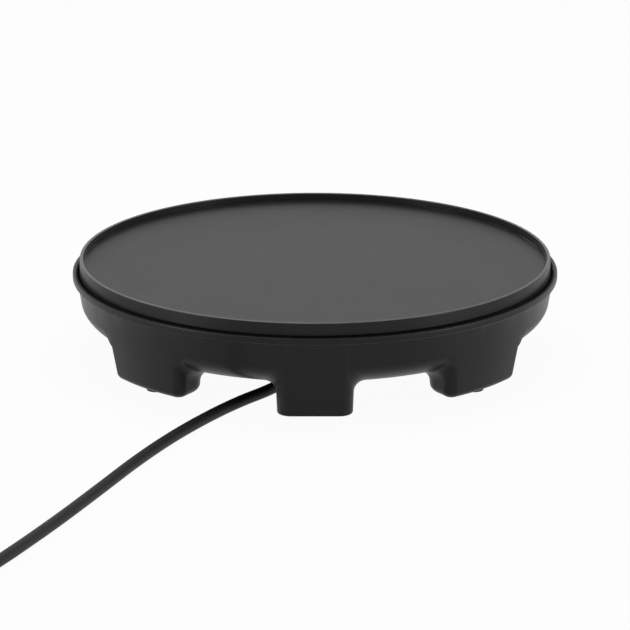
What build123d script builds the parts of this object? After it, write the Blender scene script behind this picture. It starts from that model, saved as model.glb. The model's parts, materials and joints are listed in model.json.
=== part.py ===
from build123d import *
import os
from math import atan2, cos, degrees, hypot, radians, sin, sqrt, tan

# Electric crepe maker: a cast hotplate on a moulded bowl that stands on four
# padded legs and two plain blocks. Millimetres, +Z up, origin on the table
# under the middle of the bowl. The cord leaves towards -Y, the controls face +Y.

os.makedirs("parts", exist_ok=True)

# ---- Driving dimensions ----

# heights above the table
floor_height = 20.0        # flat underside of the bowl
flange_top = 58.0          # top of the bowl's flange
foot_show = 5.8            # rubber foot standing proud of its leg
block_lift = 3.2           # the two blocks stay clear of the table

# hotplate
plate_radius = 153.6
plate_thickness = 4.2      # metal under the cooking face
plate_gap = 0.4            # daylight between flange and plate
rim_height = 4.4
rim_wall = 2.3
rim_step = 0.6             # ledge half way up the rim's inner wall
edge_round = 0.7
seat_pitch_radius = 75.0   # circle of the four fixing points
seat_radius = 5.5
rib_width = 3.0
rib_depth = 2.6
rib_count = 12

# bowl
wall = 2.6
plate_side_gap = 1.6       # radial groove between plate and flange
flange_width = 3.0         # top face of the flange outside the groove
flange_overhang = 2.9      # flange beyond the wall under it
flange_height = 4.5
groove_depth = 2.0
wall_draft = 9.2           # degrees
round_across = 36.7        # elliptical turn from wall to underside
round_height = 20.0
join_fillet = 8.0          # concave blend between bowl and legs

# legs: their outer faces carry on the line of the wall
leg_angle = 48.2           # degrees to each side of the Y axis
leg_half_width = 34.4      # at the sole
leg_depth = 32.1           # from the outer face to the inner one, at the sole
leg_side_angle = 15.6      # the sides close in towards the middle
leg_outer_corner = 7.0     # at the sole
leg_top_corner = 6.0       # where the flare starts
leg_inner_corner = 18.0
leg_edge = 5.2
leg_draft = 2.2
flare_from = 28.0          # above this the outer corners run out into the wall
flare_slope = 0.8
trim_margin = 0.02         # wall left on for the cut that makes wall and legs flush

# plain block on the cord side, control block opposite
block_half_width = 24.1
block_corner = 9.0
block_edge = 1.5
block_draft = 2.0
control_half_width = 38.0

# control recess
recess_half_width = 32.0
recess_bottom = 11.0
recess_top = 51.0
recess_depth = 9.2         # back wall of the recess behind the top of the wall
recess_corner = 5.0
panel_thickness = 2.0
panel_play = 0.2
knob_height = 31.0         # height of the knob's axis above the table
lamp_spacing = 25.0

# knob and spindle
knob_radius = 15.0
knob_skirt = 2.8
knob_grip_radius = 10.5
knob_reach = 2.7           # front of the knob beyond the top of the wall
knob_lift = 0.6            # clear of the panel
flute_count = 12
flute_radius = 2.2
spindle_radius = 3.0
spindle_flat = 2.3         # axis to the D flat
bearing_play = 0.05
spindle_hole_play = 0.5

# lamps
lens_radius = 4.0
lens_proud = 1.4
lamp_radius = 3.0
lamp_length = 14.0
part_play = 0.05

# rubber feet
foot_radius = 6.5
foot_inset = 18.88         # from the leg's outer face to the foot's axis
foot_aside = 9.094         # from the leg's middle line, away from the Y axis
foot_recess = 0.8
foot_stem = 2.5
foot_bulb = 3.4
foot_bulb_height = 3.2

# heating element
element_radius = 98.0
tube_radius = 3.5
ridge_half_width = 7.0
ridge_depth = 5.0
element_drop = 1.5         # tube centre above the foot of the ridge
element_gap_angle = 15.0   # half of the open stretch at the terminals
element_bend = 10.0
cold_end = 4.0
bead_radius = 4.5
bead_height = 6.0
tab_width = 6.3
tab_thickness = 0.8
tab_height = 8.0

# heat shield, spacers and fixing screws
shield_thickness = 0.6
shield_overhang = 14.0     # beyond the element's centre line
shield_lip = 4.0
shield_swage = 1.5
shield_level = 45.4        # underside at the spacers
spacer_height = 8.0
spacer_radius = 5.0
post_radius = 6.5
well_radius = 4.6
well_top = 31.0
screw_radius = 2.0
screw_hole_play = 0.25
screw_head_radius = 3.8
screw_head_height = 2.8
screw_bite = 8.0           # length inside the hotplate

# thermostat
bracket_gap = 7.0          # from the ridge to the bracket
bracket_thickness = 1.2
bracket_width = 24.0
bracket_foot = 20.0
pad_height = 4.4
stat_depth = 22.0
stat_width = 26.0
stat_height = 14.0
stat_bush_length = 6.0
stat_bush_radius = 5.0
blade_width = 7.0
blade_thickness = 0.8

# thermal fuse
fuse_radius = 2.2
fuse_length = 12.0
fuse_x = 24.0
fuse_y = 66.0

# cord entry
cord_radius = 3.75
cord_exit = (-3.0, -62.0, 10.6)    # tip of the bush
pod_angle = 48.0           # the cord runs out at this angle below the -X axis
pod_length = 36.0
pod_width = 30.0
pod_bottom = 2.2
pod_floor = 2.1            # metal of the moulding under the cord
pod_corner = 5.0
pod_edge = 1.2
bush_tail = 22.0
bush_tail_radius = 6.2
bush_tip_radius = 4.7
bush_collar = 6.0
bush_collar_length = 1.6
bush_neck = 5.2
bush_rings = 4
bush_ring_pitch = 3.6

# wiring
lead_radius = 1.2
lead_height = 30.0
block_width = 32.0
block_depth = 17.0
block_height = 13.0
block_step = 10.0          # between terminals
clamp_thickness = 3.0
clamp_width = 8.0
clamp_post_radius = 3.0
small_screw_radius = 1.4
small_head_radius = 2.6
small_head_height = 1.8
earth_x = 0.0
earth_gap = 10.0           # from the shield to the earth boss
earth_boss_height = 6.0
earth_boss_radius = 5.0
tag_thickness = 0.8

# vents in the underside
vent_inner = 84.0
vent_outer = 99.0
vent_width = 3.2
vent_count = 9             # in each of the two side sectors
vent_pitch = 6.0           # degrees

# coil, tie and plug
coil_x = -243.5
coil_y = -449.0
coil_inner = 32.6
coil_wraps = 2             # cords side by side, and as many on top of each other
coil_tail = 34.0           # straight stretch between coil and plug
tail_drop = 2.6
tie_thickness = 1.2
tie_turn = 13.0            # degrees of the ring that the tie covers
tie_angle = 100.0
plug_radius = 19.0
plug_height = 22.0
plug_half_width = 15.5
plug_edge = 3.0
sleeve_length = 28.0
sleeve_root_radius = 6.6
sleeve_tip_radius = 4.7
pin_radius = 2.4
pin_length = 19.0
pin_spacing = 19.0

# route of the lying cord, from the tip of the bush to the coil
cord_route = [
    cord_exit,
    (-10.3, -70.1, 9.8),
    (-18.6, -79.6, 5.9),
    (-30.4, -93.5, 3.8),
    (-47.4, -114.9, 3.75),
    (-67.3, -147.0, 3.75),
    (-89.0, -188.5, 3.75),
    (-110.4, -237.7, 3.75),
    (-130.6, -291.7, 3.75),
    (-151.9, -347.2, 3.75),
    (-171.0, -393.5, 3.75),
    (-187.5, -431.5, 3.75),
    (-203.5, -467.0, 4.9),
]

# ---- Levels and places worked out from the sizes above ----

plate_under = flange_top + plate_gap
cook_face = plate_under + plate_thickness
rim_top = cook_face + rim_height
flange_under = flange_top - flange_height
lip_radius = plate_radius + plate_side_gap
flange_radius = lip_radius + flange_width
wall_top_radius = flange_radius - flange_overhang    # outside of the wall just under the flange
recess_face = wall_top_radius - recess_depth
knob_front = wall_top_radius + knob_reach
shield_radius = element_radius + shield_overhang
bracket_y = element_radius + ridge_half_width + bracket_gap
earth_y = -shield_radius - earth_gap
ridge_foot = plate_under - ridge_depth
element_level = ridge_foot + element_drop
shield_top = shield_level + shield_thickness
post_top = shield_level - spacer_height
inner_floor = floor_height + wall
hollow_top = floor_height + round_height - 2         # hollows of legs and blocks end inside the bowl's
pad_foot = plate_under - pad_height
panel_face = recess_face + panel_thickness
seat_spots = [
    (seat_pitch_radius * cos(radians(a)), seat_pitch_radius * sin(radians(a)))
    for a in (45, 135, 225, 315)
]
foot_reach = wall_top_radius - (flange_under - foot_show) * tan(radians(wall_draft)) - foot_inset
foot_x = foot_reach * sin(radians(leg_angle)) + foot_aside * cos(radians(leg_angle))
foot_y = foot_reach * cos(radians(leg_angle)) - foot_aside * sin(radians(leg_angle))
foot_spots = [(sx * foot_x, sy * foot_y) for sx in (1, -1) for sy in (1, -1)]
coil_height = coil_wraps * 2 * cord_radius
coil_outer = coil_inner + coil_height
pod_reach = pod_length / 2 + bush_tail
pod_x = cord_exit[0] + pod_reach * cos(radians(pod_angle))
pod_y = cord_exit[1] + pod_reach * sin(radians(pod_angle))
clamp_reach = cord_radius + clamp_post_radius + 1.0
clamp_level = cord_exit[2] + cord_radius
leg_turns = [90 * side + turn * leg_angle for side in (-1, 1) for turn in (-1, 1)]

written = []


def save(name, solids, color):
    """Write one node's solids to its own STEP file."""
    group = solids if isinstance(solids, (list, tuple)) else [solids]
    parts = [s for item in group for s in item.solids()]
    shape = parts[0] if len(parts) == 1 else Compound(children=parts)
    shape.label = name
    shape.color = Color(color)
    export_step(shape, f"parts/{name}.step")
    written.append((name, len(parts), sum(p.volume for p in parts)))


def cyl(radius, low, high, x=0.0, y=0.0):
    """Upright cylinder between two heights."""
    base = Plane(origin=(x, y, low))
    return extrude(base * Circle(radius), high - low)


def block(low, high):
    """Box between two corners."""
    size = [b - a for a, b in zip(low, high)]
    centre = [(a + b) / 2 for a, b in zip(low, high)]
    return Pos(*centre) * Box(*size)


def turned(points):
    """Solid of revolution about Z from (radius, height) points."""
    return revolve(Plane.XZ * make_face(Polyline(*points, close=True)), Axis.Z)


def tube(points, radius, bends):
    """Round bar along straight runs joined by tangent arcs."""
    path = FilletPolyline(*points, radius=bends) if len(points) > 2 else Line(*points)
    start = Plane(origin=points[0], z_dir=Vector(*points[1]) - Vector(*points[0]))
    return sweep(start * Circle(radius), path=path)


# ---- Bowl: wall, flange, legs, blocks and cord pod in one moulding ----

def bowl_profile(inset, top):
    """Half section of the bowl, its surface moved inwards by inset."""
    tilt = radians(wall_draft)
    across = round_across - inset
    height = round_height - inset
    centre_z = floor_height + round_height
    line = wall_top_radius * cos(tilt) - flange_under * sin(tilt) - inset
    support = hypot(across * cos(tilt), height * sin(tilt))
    centre_r = (line - support + centre_z * sin(tilt)) / cos(tilt)
    swing = 90 - degrees(atan2(height * sin(tilt), across * cos(tilt)))
    turn = EllipticalCenterArc(
        (centre_r, centre_z), across, height, start_angle=-90, arc_size=swing
    )
    bottom = (0, centre_z - height)
    edge = ((line + top * sin(tilt)) / cos(tilt), top)
    outline = Polyline(turn @ 1, edge, (0, top), bottom, turn @ 0)
    return Plane.XZ * make_face(Wire([*turn.edges(), *outline.edges()]))


def wall_radius(height):
    """Outer radius of the drafted wall at a height."""
    return wall_top_radius - (flange_under - height) * tan(radians(wall_draft))


def leg_section(height, reach, inset, corner):
    """Plan of a leg pointing along +X: an outer arc with sides closing inwards."""
    rise = (height - foot_show) * tan(radians(leg_draft))
    sole_reach = wall_radius(foot_show)
    slope = tan(radians(leg_side_angle))
    skin = inset / cos(radians(leg_side_angle))
    half = leg_half_width + rise - skin
    near, far = sole_reach - leg_depth + inset - rise, reach + leg_half_width
    near_y = half - (sole_reach - near) * slope
    far_y = half + (far - sole_reach) * slope
    wedge = make_face(Polyline((near, -near_y), (far, -far_y), (far, far_y), (near, near_y), close=True))
    plan = wedge & Circle(reach - inset)
    plan = fillet(plan.vertices().sort_by(Axis.X)[:2], leg_inner_corner - inset)
    outer = plan.vertices().sort_by(Axis.Y)
    return (Pos(0, 0, height) * fillet([outer[0], outer[-1]], corner)).face()


def leg_stub(inset):
    """Leg along +X, or its hollow. Its top flares out past the wall, to be trimmed flush."""
    sole = foot_show + inset
    if inset:
        inner_corner = leg_outer_corner - inset
        return loft([leg_section(z, wall_radius(z), inset, inner_corner) for z in (sole, hollow_top)],
                    ruled=True)
    lower = [leg_section(z, wall_radius(z) + trim_margin, 0, corner)
             for z, corner in ((sole, leg_outer_corner), (flare_from, leg_top_corner))]
    spread = wall_radius(flare_from) + (flange_under - flare_from) * flare_slope
    upper = [lower[1], leg_section(flange_under, spread, 0, leg_top_corner)]
    stub = loft(lower, ruled=True)
    stub = fillet(stub.faces().sort_by(Axis.Z)[0].edges(), leg_edge)
    return stub + loft(upper, ruled=True)


def block_section(height, half_width, inset):
    """Plan of a block pointing along +X: a flat outer face with rounded corners."""
    rise = (height - block_lift) * tan(radians(block_draft))
    low, high = wall_radius(foot_show) - leg_depth + inset - rise, wall_radius(height) - inset
    width = 2 * (half_width + rise - inset)
    return (Pos((low + high) / 2, 0, height) * RectangleRounded(high - low, width, block_corner - inset)).face()


def block_stub(half_width, inset):
    """Block along +X up to the flange, or its hollow."""
    levels = (block_lift + inset, hollow_top if inset else flange_under)
    stub = loft([block_section(z, half_width, inset) for z in levels], ruled=True)
    if inset:
        return stub
    return fillet(stub.faces().sort_by(Axis.Z)[0].edges(), block_edge)


def blocks(inset):
    """The plain block and the control block in place."""
    return [Rot(0, 0, -90) * block_stub(block_half_width, inset),
            Rot(0, 0, 90) * block_stub(control_half_width, inset)]


def pod_frame(along=0.0, across=0.0, height=0.0):
    """Place in the cord pod: along is towards the cord's way out."""
    turn = radians(pod_angle)
    out = (-cos(turn), -sin(turn))
    side = (-sin(turn), cos(turn))
    return (
        pod_x + out[0] * along + side[0] * across,
        pod_y + out[1] * along + side[1] * across,
        height,
    )


def pod(inset, top):
    """Cord pod under the floor, or its hollow."""
    bottom = pod_bottom + (pod_floor if inset else 0)
    plan = RectangleRounded(pod_length - 2 * inset, pod_width - 2 * inset, pod_corner - inset)
    lump = extrude(Plane(origin=(pod_x, pod_y, bottom)) * (Rot(0, 0, pod_angle) * plan), top - bottom)
    if not inset:
        lump = fillet(lump.faces().sort_by(Axis.Z)[0].edges(), pod_edge)
    return lump


def joins(body, half_span):
    """Inner corners beside the legs or blocks, up to a distance from the Y axis."""
    found = []
    for edge in body.edges():
        middle = edge.center()
        low = edge.bounding_box().min.Z
        plain = edge.geom_type in (GeomType.CIRCLE, GeomType.ELLIPSE)
        between = floor_height - 0.1 < low < flange_under - 1
        reach = hypot(middle.X, middle.Y)
        if between and not plain and abs(middle.X) < half_span and 100 < reach < flange_radius:
            found.append(edge)
    return found


def recess_box(grow, outer_y):
    """Pocket behind the control panel, grown by a margin."""
    half = recess_half_width + grow
    low, high = recess_bottom - grow, recess_top + grow
    plan = RectangleRounded(2 * half, high - low, recess_corner)
    plane = Plane(origin=(0, outer_y, (low + high) / 2), x_dir=(1, 0, 0), z_dir=(0, -1, 0))
    return extrude(plane * plan, outer_y - recess_face + grow)


def housing():
    """The whole moulding."""
    outside = revolve(bowl_profile(-trim_margin, flange_under), Axis.Z)
    leg = leg_stub(0)
    for turn in leg_turns:
        outside += Rot(0, 0, turn) * leg
    outside = outside.fillet(join_fillet, joins(outside, flange_radius))
    outside -= turned([(wall_radius(-1), -1), (wall_radius(flange_top), flange_top),
                       (flange_radius + 60, flange_top), (flange_radius + 60, -1)])
    for stub in blocks(0):
        outside += stub
    outside = outside.fillet(join_fillet, joins(outside, control_half_width + join_fillet))
    outside += pod(0, inner_floor)
    flange = turned([(0, flange_under - wall), (wall_radius(flange_under - wall) - 1, flange_under - wall),
                     (wall_top_radius - 1, flange_under), (flange_radius, flange_under),
                     (flange_radius, flange_top), (0, flange_top)])
    rim = [e for e in flange.edges().filter_by(GeomType.CIRCLE) if abs(e.radius - flange_radius) < 0.01]
    outside += fillet(rim, edge_round)
    reach_out = flange_radius + 10
    outside -= recess_box(0, reach_out)

    ledge = flange_top - groove_depth
    hollow = revolve(bowl_profile(wall, ledge), Axis.Z)
    leg_hollow = leg_stub(wall)
    for stub in [Rot(0, 0, turn) * leg_hollow for turn in leg_turns] + blocks(wall):
        hollow += stub
    hollow -= recess_box(wall, reach_out)
    hollow += pod(wall, inner_floor + 1)
    shell = outside - hollow - cyl(lip_radius, ledge, flange_top + 1)

    for x, y in seat_spots:
        shell += cyl(post_radius, floor_height + 1, post_top, x, y)
        shell -= cyl(well_radius, floor_height - 1, well_top, x, y)
        shell -= cyl(screw_radius + screw_hole_play, well_top - 1, post_top + 1, x, y)
    for x, y in foot_spots:
        seat = foot_show + foot_recess
        shell -= cyl(foot_radius + screw_hole_play, foot_show - 1, seat, x, y)
        shell -= cyl(foot_stem + part_play, foot_show - 1, foot_show + wall + 1, x, y)
    shell -= [pin_hole(x, knob_height, r) for x, r in
              ((0, spindle_radius + spindle_hole_play + 1), (-lamp_spacing, lens_radius + part_play),
               (lamp_spacing, lens_radius + part_play))]
    way_out = pod_frame(pod_length / 2 - wall - 1, 0, cord_exit[2])
    hole = Plane(origin=way_out, z_dir=Vector(*pod_frame(1)) - Vector(*pod_frame(0)))
    shell -= extrude(hole * Circle(bush_neck), wall + 4)
    shell -= vents()
    for across in (-1, 1):
        x, y, _ = pod_frame(2, across * clamp_reach, 0)
        shell += cyl(clamp_post_radius, pod_bottom + 1, clamp_level, x, y)
        shell -= cyl(small_screw_radius, clamp_level - 6, clamp_level + 1, x, y)
    return shell


def pin_hole(x, z, radius):
    """Hole through the control wall along Y."""
    plane = Plane(origin=(x, recess_face + 1, z), z_dir=(0, -1, 0))
    return extrude(plane * Circle(radius), wall + 2)


def vents():
    """Cooling slots under the left and right of the bowl."""
    length = vent_outer - vent_inner
    slot = extrude(SlotOverall(length, vent_width), wall + 2)
    mid = (vent_inner + vent_outer) / 2
    half = (vent_count - 1) / 2
    angles = [side + (i - half) * vent_pitch for side in (0, 180) for i in range(vent_count)]
    return [Rot(0, 0, a) * (Pos(mid, 0, floor_height - 1) * slot) for a in angles]


# ---- Hotplate ----

def cooking_plate():
    """Cast plate with its rim, element ridge, fixing seats and ribs."""
    inner = plate_radius - rim_wall
    step_z = cook_face + rim_height / 2
    plate = turned([(0, plate_under), (plate_radius, plate_under), (plate_radius, rim_top),
                    (inner, rim_top), (inner, step_z), (inner - rim_step, step_z),
                    (inner - rim_step, cook_face), (0, cook_face)])
    rounds = [e for e in plate.edges().filter_by(GeomType.CIRCLE)
              if e.center().Z > rim_top - 0.01 or e.radius > plate_radius - 0.01]
    plate = fillet(rounds, edge_round)
    ring_in, ring_out = element_radius - ridge_half_width, element_radius + ridge_half_width
    plate += cyl(ring_out, ridge_foot, plate_under + 1) - cyl(ring_in, ridge_foot - 1, plate_under + 2)
    for x, y in seat_spots:
        plate += cyl(seat_radius, shield_top, plate_under + 1, x, y)
    rib_length = ring_in - seat_radius * 2
    rib = block((seat_radius * 2, -rib_width / 2, plate_under - rib_depth),
                (rib_length + seat_radius * 2 + 1, rib_width / 2, plate_under + 1))
    for i in range(rib_count):
        plate += Rot(0, 0, (i + 0.5) * 360 / rib_count) * rib
    half = bracket_width / 2 + 1
    plate += block((-half, bracket_y - 2, pad_foot),
                   (half, bracket_y + bracket_foot, plate_under + 1))
    plate += cyl(earth_boss_radius, plate_under - earth_boss_height, plate_under + 1, earth_x, earth_y)
    for x, y in seat_spots:
        plate -= cyl(screw_radius + part_play, shield_top - 1, shield_top + screw_bite + 1, x, y)
    for x, y in bracket_screw_spots:
        plate -= cyl(small_screw_radius + part_play, pad_foot - 1, pad_foot + 5, x, y)
    plate -= cyl(screw_radius + part_play, plate_under - earth_boss_height - 1,
                 plate_under - 0.5, earth_x, earth_y)
    return plate - element_bar(part_play) - element_slot()


bracket_screw_spots = [(-7.0, bracket_y + 12), (7.0, bracket_y + 12)]


# ---- Heating element ----

def element_path():
    """Centre line: a ring in the plate whose two ends bend down."""
    open_half = element_gap_angle
    ring = CenterArc((0, 0), element_radius, 90 + open_half, 360 - 2 * open_half)
    ring = Pos(0, 0, element_level) * ring
    down = Vector(0, 0, -1)
    runs = []
    for spot, way in ((ring @ 0, -(ring % 0)), (ring @ 1, ring % 1)):
        middle = spot + way * (element_bend * sin(radians(45))) \
            + down * (element_bend * (1 - cos(radians(45))))
        low = spot + (way + down) * element_bend
        runs.append([ThreePointArc(spot, middle, low), Line(low, low + down * cold_end)])
    return ring, runs


def element_bar(extra):
    """The tube, or its groove when extra is the clearance."""
    ring, runs = element_path()
    wire = Wire([*ring.edges(), *[e for run in runs for part in run for e in part.edges()]])
    tip = runs[0][1] @ 1
    start = Plane(origin=tip, z_dir=(0, 0, 1))
    return sweep(start * Circle(tube_radius + extra), path=wire)


def element_slot():
    """Opening that lets the ring slide up into its ridge."""
    half = tube_radius + part_play
    plan = Plane.XZ * make_face(Polyline(
        (element_radius - half, ridge_foot - 1), (element_radius + half, ridge_foot - 1),
        (element_radius + half, element_level), (element_radius - half, element_level), close=True))
    sweep_angle = 360 - 2 * element_gap_angle + 16
    return Rot(0, 0, 90 + element_gap_angle - 8) * revolve(plan, Axis.Z, revolution_arc=sweep_angle)


def element_tips():
    """Lowest points of the tube's two ends."""
    return [run[1] @ 1 for run in element_path()[1]]


# ---- Small parts ----

def screw(x, y, head_low, head_radius, head_height, radius, top):
    """Pan-head screw pointing up, with a cross recess."""
    head = fillet(cyl(head_radius, head_low, head_low + head_height, x, y).edges().sort_by(Axis.Z)[0],
                  head_height * 0.35)
    slot = Pos(x, y, head_low + head_height * 0.2) * (
        Box(head_radius * 1.1, head_radius * 0.28, head_height * 0.45)
        + Box(head_radius * 0.28, head_radius * 1.1, head_height * 0.45))
    return head - slot + cyl(radius, head_low + head_height - 0.2, top, x, y)


def rubber_feet():
    """Push-in pads with a stem and a holding bulb."""
    feet = []
    for x, y in foot_spots:
        seat = foot_show + foot_recess
        pad = cyl(foot_radius, 0, seat, x, y)
        pad = fillet(pad.edges().sort_by(Axis.Z)[0], edge_round)
        stem = cyl(foot_stem, seat - 0.2, foot_show + wall, x, y)
        bulb_low = foot_show + wall
        bulb = loft([Plane(origin=(x, y, bulb_low)) * Circle(foot_bulb),
                     Plane(origin=(x, y, bulb_low + foot_bulb_height)) * Circle(foot_stem * 0.8)])
        feet.append(pad + stem + bulb)
    return feet


def heat_shield():
    """Pressed disc with a swaged middle, a turned-down lip and a notch."""
    low, high = shield_level, shield_level + shield_swage
    t = shield_thickness
    inner, outer = seat_pitch_radius - 12, seat_pitch_radius + 12
    run = shield_swage * 2
    under = [(0, high), (inner - run, high), (inner, low), (outer, low), (outer + run, high),
             (shield_radius - t, high), (shield_radius - t, high - shield_lip)]
    over = [(shield_radius, high - shield_lip), (shield_radius, high + t), (outer + run, high + t),
            (outer, low + t), (inner, low + t), (inner - run, high + t), (0, high + t)]
    disc = turned(under + over)
    for x, y in seat_spots:
        disc -= cyl(screw_radius + screw_hole_play, low - 1, high + 2, x, y)
    notch = block((-stat_width, element_radius - 18, low - 5), (stat_width, shield_radius + 5, high + 2))
    notch = fillet(notch.edges().filter_by(Axis.Z), 6)
    return disc - notch


def control_knob():
    """Fluted knob with a skirt, a pointer notch and a blind D bore."""
    base = panel_face + knob_lift
    length = knob_front - base
    skirt = extrude(Circle(knob_radius), knob_skirt, taper=12)
    grip = extrude(Circle(knob_grip_radius), length, taper=3)
    flutes = [Rot(0, 0, i * 360 / flute_count)
              * (Pos(knob_grip_radius + flute_radius * 0.45, 0, knob_skirt)
                 * extrude(Circle(flute_radius), length, taper=-3)) for i in range(flute_count)]
    grip = fillet(grip.faces().sort_by(Axis.Z)[-1].edges(), 0.9) - flutes
    bore_depth = length - 2.4
    bore = extrude(d_section(part_play), bore_depth)
    mark = Pos(0, knob_radius - 2.4, knob_skirt) * Box(1.4, 4.0, 1.2)
    knob = skirt + grip - bore - mark
    return Plane(origin=(0, base, knob_height), x_dir=(-1, 0, 0), z_dir=(0, 1, 0)) * knob


def d_section(extra):
    """Round bar with one flat."""
    r = spindle_radius + extra
    cut = spindle_flat + extra
    return Circle(r) & (Pos(0, cut - r) * Rectangle(4 * r, 2 * r))


def thermostat_spindle():
    """Shaft from the thermostat into the knob."""
    base = bracket_y + stat_depth - 8
    flat_from = panel_face + knob_lift
    top = knob_front - 2.6
    plane = Plane(origin=(0, base, knob_height), x_dir=(-1, 0, 0), z_dir=(0, 1, 0))
    shaft = extrude(Circle(spindle_radius), flat_from - base)
    return plane * (shaft + Pos(0, 0, flat_from - base) * extrude(d_section(0), top - flat_from))


def thermostat_body():
    """Ceramic block with a brass bush round the spindle and two tabs."""
    half = stat_width / 2
    low, high = knob_height - stat_height / 2, knob_height + stat_height / 2
    far = bracket_y + stat_depth
    body = block((-half, bracket_y, low), (half, far, high))
    body = fillet(body.edges().filter_by(Axis.Y), 2)
    plane = Plane(origin=(0, far - 1, knob_height), z_dir=(0, 1, 0))
    body += extrude(plane * Circle(stat_bush_radius), stat_bush_length + 1)
    bore = Plane(origin=(0, far - 9, knob_height), z_dir=(0, 1, 0))
    body -= extrude(bore * Circle(spindle_radius + bearing_play), stat_bush_length + 10)
    for side in (-1, 1):
        tab = block((half - 1, bracket_y + 4, knob_height - tab_thickness / 2),
                    (half + 6, bracket_y + 4 + tab_width, knob_height + tab_thickness / 2))
        body += tab if side > 0 else mirror(tab, about=Plane.YZ)
    return body


def thermostat_bracket():
    """Folded strip between the hotplate's pad and the thermostat."""
    half = bracket_width / 2
    t = bracket_thickness
    foot = block((-half, bracket_y - t, pad_foot - t), (half, bracket_y + bracket_foot - 2, pad_foot))
    drop = block((-half, bracket_y - t, knob_height - stat_height / 2 + 1), (half, bracket_y, pad_foot))
    strip = foot + drop
    for x, y in bracket_screw_spots:
        strip -= cyl(small_screw_radius + screw_hole_play, pad_foot - t - 1, pad_foot + 1, x, y)
    window = block((-4, bracket_y - t - 1, knob_height + stat_height / 2 + 2), (4, bracket_y + 1, pad_foot - 5))
    return strip - window


def thermostat_blade():
    """Bimetal strip that feels the hotplate through the bracket."""
    low = knob_height + stat_height / 2
    y = bracket_y + 4
    high = pad_foot - bracket_thickness
    half = blade_width / 2
    stand = block((-half, y, low), (half, y + blade_thickness, high))
    arm = block((-half, y, high - blade_thickness), (half, y + 5, high))
    return stand + arm


def terminal_block():
    """Three-way connector with a clamping well at each way."""
    spot = pod_frame(-terminal_distance, 0, inner_floor)
    plane = Plane(origin=spot, x_dir=pod_side, z_dir=(0, 0, 1))
    body = extrude(Rectangle(block_width, block_depth), block_height)
    body = fillet(body.edges().filter_by(Axis.Z), 1.5)
    for way in (-1, 0, 1):
        x = way * block_step
        body -= Pos(x, 0, block_height - 5) * extrude(Circle(2.2), 6)
        body -= Pos(x, 0, lead_height - inner_floor) * Box(2 * lead_radius + 0.4, block_depth + 2,
                                                           2 * lead_radius + 0.4)
    return plane * body


pod_side = Vector(*pod_frame(0, 1)) - Vector(*pod_frame(0, 0))
terminal_distance = 40.0
sheath_start = -6.0


def terminal_screws():
    """Grub screws in the connector."""
    out = []
    for way in (-1, 0, 1):
        x, y, _ = pod_frame(-terminal_distance, way * block_step)
        low = lead_height + lead_radius + 0.1
        out.append(cyl(2.0, low, inner_floor + block_height - 0.6, x, y)
                   - block((x - 1.6, y - 0.3, inner_floor + block_height - 1.4),
                           (x + 1.6, y + 0.3, inner_floor + block_height)))
    return out


def cord_bush():
    """Tapered rubber sleeve whose collars grip the pod's wall."""
    bore = cord_radius + part_play
    points = [(bore, -wall - bush_collar_length), (bush_collar, -wall - bush_collar_length),
              (bush_collar, -wall), (bush_neck, -wall), (bush_neck, 0), (bush_tail_radius, 0),
              (bush_tail_radius, bush_collar_length), (bush_tip_radius, bush_tail), (bore, bush_tail)]
    sleeve = turned(points)
    taper = (bush_tail_radius - bush_tip_radius) / (bush_tail - bush_collar_length)
    for i in range(bush_rings):
        low = bush_collar_length + (i + 1) * bush_ring_pitch
        floor = bush_tail_radius - (low - bush_collar_length) * taper - 0.7
        sleeve -= cyl(bush_tail_radius + 1, low, low + 1.4) - cyl(floor, low, low + 1.4)
    return Plane(origin=pod_frame(pod_length / 2, 0, cord_exit[2]), z_dir=way_vector) * sleeve


way_vector = Vector(*pod_frame(1)) - Vector(*pod_frame(0))


def cord_inner_end():
    """Sheathed stretch of cord held inside the pod and the bush."""
    plane = Plane(origin=pod_frame(sheath_start, 0, cord_exit[2]), z_dir=way_vector)
    return extrude(plane * Circle(cord_radius), pod_reach - sheath_start)


def cord_clamp():
    """Bar that holds the sheath down between two posts."""
    x, y, _ = pod_frame(2, 0, 0)
    plane = Plane(origin=(x, y, clamp_level), x_dir=pod_side, z_dir=(0, 0, 1))
    length = 2 * (clamp_reach + clamp_post_radius)
    bar = extrude(RectangleRounded(length, clamp_width, 2.5), clamp_thickness)
    for side in (-1, 1):
        bar -= Pos(side * clamp_reach, 0, -1) * extrude(Circle(small_screw_radius + screw_hole_play),
                                                        clamp_thickness + 2)
    return plane * bar


def clamp_screws():
    """Two screws through the clamp bar into its posts."""
    out = []
    for side in (-1, 1):
        x, y, _ = pod_frame(2, side * clamp_reach, 0)
        top = clamp_level + clamp_thickness
        out.append(cyl(small_head_radius, top, top + small_head_height, x, y)
                   - block((x - 2.2, y - 0.4, top + 1.0), (x + 2.2, y + 0.4, top + 2.5))
                   + cyl(small_screw_radius - part_play, clamp_level - 5, top, x, y))
    return out


def earth_tag():
    """Ring tag and its tail under the hotplate's earth boss."""
    high = plate_under - earth_boss_height
    ring = cyl(4.2, high - tag_thickness, high, earth_x, earth_y)
    ring += block((earth_x + 2, earth_y - 1.8, high - tag_thickness), (earth_x + 9, earth_y + 1.8, high))
    return ring - cyl(screw_radius + 0.2, high - 2, high + 1, earth_x, earth_y)


# ---- Coil, tie and plug ----

def wound_section(margin):
    """Section of the wound cord beside the coil's axis, grown by a margin."""
    size = coil_height + 2 * margin
    middle = ((coil_inner + coil_outer) / 2, tie_thickness + coil_height / 2)
    return Pos(*middle) * RectangleRounded(size, size, cord_radius - 0.1 + margin)


def cord_coil():
    """Outer shape of the wound cord with the end that leaves for the plug."""
    ring = Pos(coil_x, coil_y, 0) * revolve(Plane.XZ * wound_section(0), Axis.Z)
    return ring + tube([(tail_x, coil_y, tail_top), (tail_x, coil_y + coil_tail, sleeve_height)],
                       cord_radius, [])


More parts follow.
